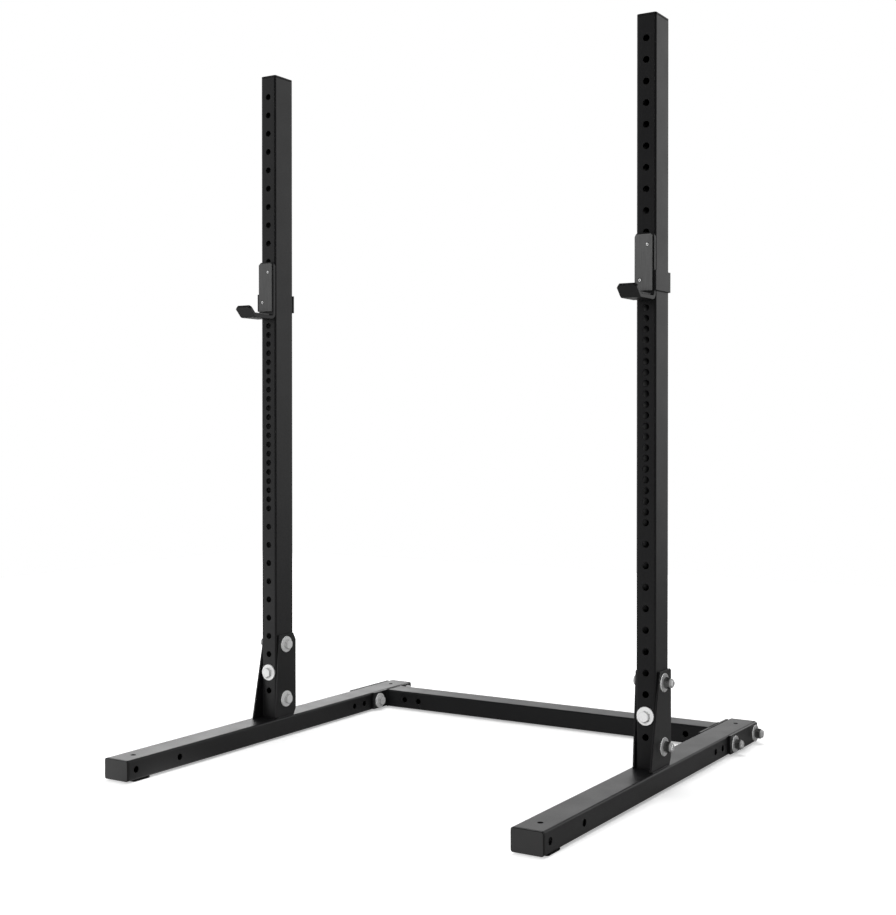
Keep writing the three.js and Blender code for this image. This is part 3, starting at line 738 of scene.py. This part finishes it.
def capShell(width, height):
    # The cover of a tube's end, with a large round edge, and the hollow plug below it
    cover = roundedOutline(rectangle(width, height), tube["corner"], 8)
    shell = plateShell(cover, [], 0.0, cap["cover"], cap["rounding"], 5)
    # the edge attribute is 1 everywhere but the face, for the rim's painted shade
    shell.edges = [np.where(points[:, 2] > cap["cover"] - 1e-6, 0.0, 1.0) for points in shell.points]
    gap = 2 * (tube["wall"] + cap["plugGap"])
    hollow = gap + 2 * cap["plugWall"]
    plug = roundedOutline(rectangle(width - gap, height - gap), tube["innerCorner"], 4)
    inside = roundedOutline(rectangle(width - hollow, height - hollow), tube["innerCorner"], 4)
    bore = [inside.reshape(-1, 2)[::-1]]
    return shell.join(plateShell(plug, bore, -cap["plug"], cap["plugTop"], cap["plugRounding"], 1))


def makeCap(node, width, height, ways):
    # the cover starts one thickness inside the outer face of the part's box
    low, high = np.array(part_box(node))
    along = np.array(ways[2])
    middle = (low + high) / 2
    outer = max(low @ along, high @ along)
    origin = middle + along * (outer - cap["cover"] - middle @ along)
    capShell(width, height).piece(f"{node}_cover", capPlastic, "stand", [node], axes(origin, *ways))


def makePad(node):
    low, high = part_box(node)
    outline = roundedOutline(rectangle(high.x - low.x, high.y - low.y), pad["corner"], 8)
    shell = plateShell(outline, [], 0.0, high.z - low.z, pad["rounding"], 4)
    shell.piece(f"{node}_rubber", rubber, "stand", [node],
                axes(((low.x + high.x) / 2, (low.y + high.y) / 2, low.z), *fromAbove))


# The post brackets. Each plate's shape is how far its foot and its top reach to the front, and its
# rear top corner's chamfer.

bracket = {
    "plate": 0.0048, "height": 0.230, "inner": 0.0257, "rear": 0.0432, "corner": 0.0015, "rounding": 0.0006,
    "outerPlate": (0.073, 0.024, (0.005, 0.005)),
    "innerPlate": (0.045, 0.029, (0.011, 0.020)),
    "heel": (0.009, 0.0185),  # the lower rear corner that is cut off
    "webTop": 0.020,  # from the plates' top down to the web's
    "webCorner": 0.0008, "webRounding": 0.0004,
    "footWeld": (0.002, 0.011),  # how far it stays from the plate's ends
    "footWeldOut": 0.0006,
    "webWeld": (0.024, 0.026),
    "webWeldSize": 0.8,
}


def makeBracket(name, side):
    low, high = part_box(f"{name}_post_bracket")
    place = axes((side * post["across"], 0.0, low.z), *fromAbove)
    rear, height, thick, inner = bracket["rear"], bracket["height"], bracket["plate"], bracket["inner"]
    heel, lift = bracket["heel"]
    holes = list(circles([(0.0, holeHeight(step)) for step in post["sideBoltSteps"]], hole["radius"]))
    shell, beads = Shell(), Shell()
    for (footReach, topReach, chamfer), facing in ((bracket["outerPlate"], 1), (bracket["innerPlate"], -1)):
        corners = [(-footReach, 0.0), (rear - heel, 0.0), (rear, lift), (rear, height - chamfer[1]),
                   (rear - chamfer[0], height), (-topReach, height)]
        start = inner if facing > 0 else -inner - thick
        outline = roundedOutline(corners, bracket["corner"], 4)
        plate = plateShell(outline, holes, start, start + thick, bracket["rounding"])
        shell.join(plate, axes((0, 0, 0), (0, 1, 0), (0, 0, 1), (side, 0, 0)))
        x = side * facing * (inner + thick + bracket["footWeldOut"])
        front, back = bracket["footWeld"]
        beads.join(weldShell([(x, front - footReach, 0.0), (x, rear - back, 0.0)], (0, 0, 1)))
    webHeight = height - bracket["webTop"] - lift
    web = rectangle(2 * inner, webHeight, (0.0, lift + webHeight / 2))
    webHole = list(circles([(0.0, holeHeight(post["frontBoltStep"]))], hole["radius"]))
    outline = roundedOutline(web, bracket["webCorner"], 2)
    shell.join(plateShell(outline, webHole, rear - thick, rear, bracket["webRounding"], 2),
               axes((0, 0, 0), *fromFront))
    shell.piece(f"{name}_bracket_plates", powder, "stand", [f"{name}_post_bracket"], place)
    bottom, top = bracket["webWeld"]
    for x in (-inner, inner):
        path = [(x, rear, bottom), (x, rear, height - top)]
        beads.join(weldShell(path, (1, 0, 0), size=bracket["webWeldSize"]))
    beads.piece(f"{name}_bracket_welds", powder, "stand", (), place, weld["sharp"])


# The crossmember and its joints

flange = {"thickness": 0.00635, "length": 0.2032, "height": 0.0493, "along": 0.5028, "middle": 0.03145,
          "corner": 0.004, "rounding": 0.0006, "boltHeight": 0.0292, "bolts": (0.4335, 0.5859)}
crossmember = {
    "along": 0.5097, "middle": 0.0307,
    "tubeEnd": 0.003,  # from the flange's outer face
    "spareHoles": (0.0663, 0.1163),  # from the flange's inner face
    "weldInset": 0.0008, "weldSize": 0.9,
}


def flangeShell(low, high):
    body = rectangle(flange["length"], flange["height"], (flange["along"], flange["middle"]))
    holes = circles([(y, flange["boltHeight"]) for y in flange["bolts"]], hole["radius"])
    return plateShell(roundedOutline(body, flange["corner"]), list(holes), low, high, flange["rounding"])


def makeCrossmember():
    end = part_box("crossmember")[1].x
    face = end - flange["thickness"]
    reach = end - crossmember["tubeEnd"]
    middle = (crossmember["along"], crossmember["middle"])
    walls = [(0.0, reach + sign * (face - inset), hole["radius"])
             for inset in crossmember["spareHoles"] for sign in (-1, 1)]
    shell = tubeShell(tube["wide"], tube["narrow"], 2 * reach, {0: walls, 2: walls})
    whole = Shell().join(shell, axes((-reach, *middle), *fromSide))
    whole.join(flangeShell(face, end), axes((0, 0, 0), *fromSide))
    whole.join(flangeShell(-end, -face), axes((0, 0, 0), *fromSide))
    whole.piece("crossmember_tube", powder, "stand", ["crossmember"])
    beads = Shell()
    seam = rectangle(tube["wide"], tube["narrow"] - 2 * crossmember["weldInset"], middle)
    loop = roundedOutline(seam, tube["corner"]).reshape(-1, 2)
    for x in (-face, face):
        path = np.column_stack([np.full(len(loop), x), loop])
        beads.join(weldShell(path, (1, 0, 0), closed=True, size=crossmember["weldSize"]))
    beads.piece("crossmember_welds", powder, "stand", sharp=weld["sharp"])


def makeBackingPlate(name):
    low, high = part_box(f"{name}_backing_plate")
    flangeShell(low.x, high.x).piece(f"{name}_joint_plate", powder, "stand", [f"{name}_backing_plate"],
                                     axes((0, 0, 0), *fromSide))


# Bolts, washers and nuts, each along its own third axis

hexagon = {"flats": 0.0238, "faceShare": 0.955, "cone": 0.55, "sharpness": 44, "count": 96}
bolt = {"head": 0.010, "radius": 0.0079, "plain": 0.004, "thread": 0.030, "pitch": 0.002,
        "threadDepth": 0.0009, "tip": 0.0014, "postTail": 0.0023, "crossTail": 0.0005, "gap": 0.0003}
washer = {"radius": 0.02225, "bore": 0.00875, "thickness": 0.003, "rounding": 0.0006}
nut = {"height": 0.0143, "collar": 0.0049, "collarInset": 0.0012, "threadGap": 0.00015}
nutRing = {"outer": 0.0013, "inner": 0.0001, "low": 0.0028, "high": 0.0005, "rounding": 0.0003}


def hexagonReach(apothem, angle):
    # A hexagon with slightly rounded corners: the distance to the nearest flat, blended by a high power
    flats = np.cos(angle[:, None] - np.pi / 3 * np.arange(6))
    return apothem * (np.clip(flats, 0, None) ** hexagon["sharpness"]).sum(1) ** (-1 / hexagon["sharpness"])


def hexagonRings(low, high, bothEnds):
    # Rings round a hexagon between two heights. A cone takes its corners off at the low end, and at
    # the high end if bothEnds is set: each point is as far from the face as it lies outside its circle.
    apothem = hexagon["flats"] / 2
    angle = fullTurn(hexagon["count"])
    reach = hexagonReach(apothem, angle)
    circle = np.full(hexagon["count"], apothem * hexagon["faceShare"])
    cone = (reach - circle) * hexagon["cone"]
    rings = [(low, circle), (low + cone, reach)]
    rings += [(high - cone, reach), (high, circle)] if bothEnds else [(high, reach)]
    return np.stack([polar(radius, angle, height) for height, radius in rings])


def boltShell(length):
    # The underside of the head is at 0. The thread is a triangle wave of the height less the angle's
    # share of a turn, cut off at root and crest, and the tip's radius falls over its last stretch.
    # the hexagon's sides take 0.6 of the zinc's darker, more metallic flat colour: painted shade
    shell = Shell().rod(hexagonRings(-bolt["head"], 0.0, False), np.array([[0.0], [0.6], [0.6]]))
    start = max(bolt["plain"], length - bolt["thread"])
    thread = np.arange(start + 0.0002, length, bolt["pitch"] / 8)
    height = np.array([-0.0005, start, *thread, length])[:, None]
    angle = fullTurn(40)
    turn = (height / bolt["pitch"] - angle / (2 * np.pi)) % 1.0
    cut = bolt["threadDepth"] * np.clip(1.5 * np.abs(2 * turn - 1) - 0.25, 0, 1)
    runIn = np.clip((height - start) / bolt["pitch"], 0, 1)
    tip = bolt["radius"] - bolt["tip"] + np.clip(length - height, 0, bolt["tip"])
    return shell.rod(polar(np.minimum(bolt["radius"] - cut * runIn, tip), angle, height))


def washerShell():
    bore = list(circles([(0, 0)], washer["bore"], 48))
    return plateShell(disc(washer["radius"], 64), bore, 0.0, washer["thickness"], washer["rounding"])


def nutShell():
    # The washer's outer face is at its thickness. Above it the hexagon, then the collar that holds
    # the locking ring.
    low = washer["thickness"]
    high = low + nut["height"]
    top = high + nut["collar"]
    outer = hexagon["flats"] / 2 - nut["collarInset"]
    bore = bolt["radius"] + nut["threadGap"]
    hexagonPart = hexagonRings(low, high, True)
    collar = np.array([(outer + 0.0006, high), (outer, high + 0.0008), (outer, top - 0.0014),
                       (outer - 0.0005, top - 0.0005), (outer - 0.0015, top)])
    inside = np.array([(bore + 0.0014, top), (bore + 0.0012, top - 0.0006), (bore + 0.0012, top - 0.0012),
                       (bore, top - 0.0012), (bore, low)])
    profile = np.concatenate([collar, inside])
    turned = polar(profile[:, :1], fullTurn(hexagon["count"]), profile[:, 1:])
    # the hexagon takes all of the zinc's darker, more metallic flat colour and the collar half: painted shade
    edge = np.repeat((1.0, 0.5, 0.0), (len(hexagonPart), len(collar) - 1, len(inside) + 1))[:, None]
    shell = Shell()
    numbers = shell.add(np.concatenate([hexagonPart, turned]), edge)
    shell.band(numbers)
    shell.band(numbers[[-1, 0]])
    return shell


def nutRingShell():
    top = washer["thickness"] + nut["height"] + nut["collar"]
    bore = list(circles([(0, 0)], bolt["radius"] + nutRing["inner"], 48))
    outline = disc(bolt["radius"] + nutRing["outer"], 48)
    return plateShell(outline, bore, top - nutRing["low"], top - nutRing["high"], nutRing["rounding"], 2)


def makeFastener(name, origin, along, across, stack, tail):
    # origin is where the bolt's axis meets the near face of the stack, and two flats face across
    along = np.array(along, float)
    up = np.cross(along, across)
    gap, thick = bolt["gap"], washer["thickness"]
    headStack = 2 * gap + thick
    length = headStack + stack + gap + thick + nut["height"] + nut["collar"] + tail

    def at(shift):
        return axes(np.asarray(origin) + along * shift, across, up, along)

    boltShell(length).piece(f"{name}_hex", zinc, "stand", [name], at(-headStack))
    washerShell().piece(f"{name}_washer_ring", zinc, "stand", [f"{name}_washer"], at(-gap - thick))
    nutShell().join(washerShell()).piece(f"{name}_lock_nut", zinc, "stand", [f"{name}_nut"], at(stack + gap))
    nutRingShell().piece(f"{name}_nut_ring", nylon, "stand", (), at(stack + gap))


# The J-cups, measured from the pin's axis at the back of the plate

cup = {
    "step": 46,  # the hole that the pin stands in
    "gap": 0.0003,  # between the plate and the post
    "thickness": 0.0095, "rounding": 0.0009, "top": 0.048, "drop": 0.1099, "reach": 0.111,
    "rearBend": 0.0165, "frontBend": 0.012, "lip": 0.032, "lipSlope": 45.0, "lipChamfer": 0.0055,
    "topChamfer": 0.006,
}
wrap = {"thickness": 0.0048, "top": -0.0399, "height": 0.0476, "bend": 0.009, "sideGap": 0.0003,
        "rearGap": 0.0006, "rounding": 0.0007}
liner = {"thickness": 0.0048, "side": 0.0031, "top": 0.0035, "foot": 0.0049, "chamfer": 0.004, "gap": 0.0003,
         "corner": 0.001, "rounding": 0.0007}
shelfPad = {"thickness": 0.0038, "rear": 0.024, "front": 0.07805, "corner": 0.0012, "gap": 0.0003,
            "rounding": 0.0007}
screw = {"across": 0.0095, "upper": 0.020, "lower": -0.063, "holeRadius": 0.005, "socket": 0.0015}
pin = {"radius": 0.0079, "chamfer": 0.002, "edge": 0.0005, "behind": 0.032}
cupWeld = {"wrapOut": 0.0001, "wrapBack": 0.0008, "wrapEnds": 0.002, "wrapSize": 0.55, "pinOut": 0.0006,
           "pinSize": 0.5}


def arcPath(middle, radius, start, stop, count=14):
    angle = np.radians(np.linspace(start, stop, count))
    return np.stack([middle[0] + radius * np.cos(angle), middle[1] + radius * np.sin(angle)], -1)


def barSection(width, thickness, rounding, steps):
    return roundedOutline(rectangle(width, thickness), rounding, steps).reshape(-1, 2)


def hookShell():
    # The lip slopes up and forward. Its bend starts where the slope, drawn back from the tip, meets
    # the level bar: the rise over the slope's tangent, plus the bend's radius times the slope's sine.
    slope = np.radians(cup["lipSlope"])
    half = cup["thickness"] / 2
    shelf = -cup["drop"]
    upright, level = np.sin(slope), np.cos(slope)
    tip = np.array([half * upright - cup["reach"], shelf + cup["lip"] - half * level])
    bend = cup["frontBend"] - half
    rise = tip[1] - shelf - half - bend * (1 - level)
    rearMiddle = (-cup["rearBend"], shelf + cup["rearBend"])
    frontMiddle = (tip[0] + rise / np.tan(slope) + bend * upright, shelf + cup["frontBend"])
    drawnIn, drop, _ = ringShare(4)
    rounding = cup["rounding"]
    fromTop = np.linspace(cup["top"] - 0.003, rearMiddle[1] + 0.0005, 24)
    back = np.concatenate([cup["top"] - rounding * drop, fromTop])
    fromTip = np.concatenate([np.linspace(rise / upright - 0.0004, 0.003, 16), rounding * drop[::-1]])
    bar = np.linspace(rearMiddle[0] - 0.001, frontMiddle[0] + 0.001, 8)
    path = np.concatenate([
        np.column_stack([np.full(len(back), -half), back]),
        arcPath(rearMiddle, cup["rearBend"] - half, 0, -90),
        np.column_stack([bar, np.full(8, shelf + half)]),
        arcPath(frontMiddle, bend, -90, -90 - cup["lipSlope"], 8),
        tip + fromTip[:, None] * (level, -upright),
    ])
    path = np.column_stack([np.zeros(len(path)), path])
    shrink = np.zeros(len(path))
    shrink[:5], shrink[-5:] = rounding * drawnIn, rounding * drawnIn[::-1]
    halfWidth = tube["narrow"] / 2
    scale = np.stack([1 - shrink / halfWidth, 1 - shrink / half], -1)[:, None]
    shell = sweptShell(path, (1, 0, 0), barSection(tube["narrow"], cup["thickness"], rounding, 4), scale)
    points = shell.points[0]
    # the corners of the lip and of the plate's top are cut off at 45 degrees
    alongLip = (tip[0] - points[:, 1]) * -level + (tip[1] - points[:, 2]) * upright
    onLip = points[:, 1] < frontMiddle[0]
    cut = np.where(onLip, cup["lipChamfer"] - alongLip, points[:, 2] - (cup["top"] - cup["topChamfer"]))
    points[:, 0] *= np.clip(1 - np.clip(cut, 0, None) / halfWidth, 0, 1)
    return shell


def wrapShell():
    # From the plate's edge along the post's outer side and across its rear
    half = wrap["thickness"] / 2
    side = tube["narrow"] / 2 + wrap["sideGap"] + half
    rear = tube["wide"] + wrap["rearGap"] + half
    bend = wrap["bend"] - half
    corner = (side - bend, rear - bend)
    path = np.concatenate([
        np.column_stack([np.full(3, side), np.linspace(-cup["thickness"], corner[1] - 0.001, 3)]),
        arcPath(corner, bend, 0, 90, 12),
        np.column_stack([np.linspace(corner[0] - 0.001, -tube["narrow"] / 2, 3), np.full(3, rear)]),
    ])
    path = np.column_stack([path, np.full(len(path), wrap["top"] - wrap["height"] / 2)])
    section = barSection(wrap["height"], wrap["thickness"], wrap["rounding"], 3)
    return sweptShell(path, (0, 0, 1), section)


def cupWelds():
    # a bead where the wrap meets the plate's edge, and one round the pin at the plate's back
    edge, front = tube["narrow"] / 2 + cupWeld["wrapOut"], cupWeld["wrapBack"] - cup["thickness"]
    low, high = wrap["top"] - wrap["height"] + cupWeld["wrapEnds"], wrap["top"] - cupWeld["wrapEnds"]
    beads = weldShell([(edge, front, low), (edge, front, high)], (1, 0, 0), size=cupWeld["wrapSize"])
    ring = circles([(0, 0)], pin["radius"] + cupWeld["pinOut"], 48)[0]
    path = np.column_stack([ring[:, 0], np.zeros(len(ring)), ring[:, 1]])
    return Shell().join(beads).join(weldShell(path, (0, 1, 0), True, cupWeld["pinSize"]))


def linerShell(screws, outer):
    bottom = cup["rearBend"] - cup["drop"] + liner["foot"]
    top = cup["top"] - liner["top"]
    half = tube["narrow"] / 2 - liner["side"]
    across, up = half - liner["chamfer"], top - liner["chamfer"]
    corners = [(-half, bottom), (half, bottom), (half, up), (across, top), (-across, top), (-half, up)]
    holes = list(circles([middle for _, *middle in screws], screw["holeRadius"], 40))
    outline = roundedOutline(corners, liner["corner"], 3)
    return plateShell(outline, holes, outer, outer + liner["thickness"], liner["rounding"])


def shelfPadShell():
    # across, to the rear and up from the pin
    shelf = cup["thickness"] - cup["drop"] + shelfPad["gap"]
    rear, front = -shelfPad["rear"], -shelfPad["front"]
    body = rectangle(tube["narrow"] - 2 * liner["side"], rear - front, (0.0, (rear + front) / 2))
    outline = roundedOutline(body, shelfPad["corner"], 3)
    return plateShell(outline, [], shelf, shelf + shelfPad["thickness"], shelfPad["rounding"])


def screwShell():
    # A screw whose domed head has a hexagon socket. The rows go from the socket's floor over the dome
    # and its rim to the shank's end: height, radius, and 1 where the zinc takes its darker, more metallic
    # colour, which paints shade into the socket and round the dome's rim, and runs on down the shank.
    angle = fullTurn(48)
    socket = hexagonReach(screw["socket"], angle)
    rows = [(0.0018, socket * 0.4, 1), (0.0018, socket, 1), (0.0002, socket, 1), (0.0001, socket + 0.0003, 0),
            (0.0001, 0.0024, 0), (0.0003, 0.0038, 1), (0.0007, 0.0048, 1), (0.0014, 0.0048, 1),
            (0.0028, 0.0025, 1), (0.0136, 0.0025, 1)]
    points = np.stack([polar(np.full(48, radius), angle, height) for height, radius, _ in rows])
    return Shell().rod(points, np.array([[edge] for *_, edge in rows], float))


def pinShell():
    length = cup["thickness"] + pin["behind"]
    radius = pin["radius"]
    profile = np.array([(radius - pin["edge"], 0.0), (radius, pin["edge"]), (radius, length - pin["chamfer"]),
                        (radius - pin["chamfer"], length)])
    return Shell().rod(polar(profile[:, :1], fullTurn(40), profile[:, 1:]))


def makeCup(name, side, bottom):
    body = f"{name}_j_cup"
    across, rear, up = side * post["across"], -tube["wide"] / 2 - cup["gap"], bottom + holeHeight(cup["step"])
    mirrored = axes((across, rear, up), (side, 0, 0), (0, 1, 0), (0, 0, 1))
    hookShell().join(wrapShell()).piece(f"{name}_hook_bar", powder, body, [f"{name}_jcup_hook"], mirrored)
    cupWelds().piece(f"{name}_hook_welds", powder, body, (), mirrored, weld["sharp"])

    screws = [("upper", side * screw["across"], screw["upper"]),
              ("lower", -side * screw["across"], screw["lower"])]
    outer = -cup["thickness"] - liner["gap"] - liner["thickness"]
    plate = linerShell(screws, outer).join(shelfPadShell(), axes((0, 0, 0), *fromFront))
    plate.piece(f"{name}_cup_liner", linerPlastic, body, [f"{name}_jcup_liner"],
                axes((across, rear, up), (side, 0, 0), (0, 0, 1), (0, 1, 0)))
    for word, shift, lift in screws:
        place = axes((across + side * shift, rear + outer, up + lift), *fromFront)
        screwShell().piece(f"{name}_liner_{word}_screw", zinc, body, [f"{name}_jcup_{word}_screw"], place)
    pinShell().piece(f"{name}_cup_pin", zinc, body, [f"{name}_jcup_pin"],
                     axes((across, rear - cup["thickness"], up), (1, 0, 0), (0, 0, -1), (0, 1, 0)))


# The whole stand

def makeBolts(name, side, bottom):
    across, half = side * post["across"], bracket["inner"] + bracket["plate"]
    for word, step in zip(("lower", "upper"), post["sideBoltSteps"]):
        makeFastener(f"{name}_{word}_side_bolt", (across - side * half, 0.0, bottom + holeHeight(step)),
                     (side, 0, 0), (0, 1, 0), 2 * half, bolt["postTail"])
    front = -tube["wide"] / 2
    makeFastener(f"{name}_front_bolt", (across, front, bottom + holeHeight(post["frontBoltStep"])),
                 (0, 1, 0), (1, 0, 0), bracket["rear"] - front, bolt["postTail"])
    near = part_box("crossmember")[1].x - flange["thickness"]
    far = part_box("right_backing_plate")[1].x
    for word, y in zip(("front", "rear"), flange["bolts"]):
        makeFastener(f"{name}_cross_{word}_bolt", (side * near, y, flange["boltHeight"]),
                     (side, 0, 0), (0, 1, 0), far - near, bolt["crossTail"])


for name, side in sides.items():
    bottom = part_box(f"{name}_upright")[0].z
    makeUpright(name)
    makeFoot(name)
    makeCap(f"{name}_upright_cap", tube["narrow"], tube["wide"], fromAbove)
    for end, direction in (("front", -1), ("rear", 1)):
        ways = ((1, 0, 0), (0, 0, 1), (0, direction, 0))
        makeCap(f"{name}_foot_{end}_cap", tube["wide"], tube["narrow"], ways)
        makePad(f"{name}_foot_{end}_pad")
    makeBracket(name, side)
    makeBackingPlate(name)
    makeBolts(name, side, bottom)
    makeCup(name, side, bottom)
    print(f"{name} post and foot made")
makeCrossmember()
print("crossmember made")

scene.view_settings.view_transform = "Standard"
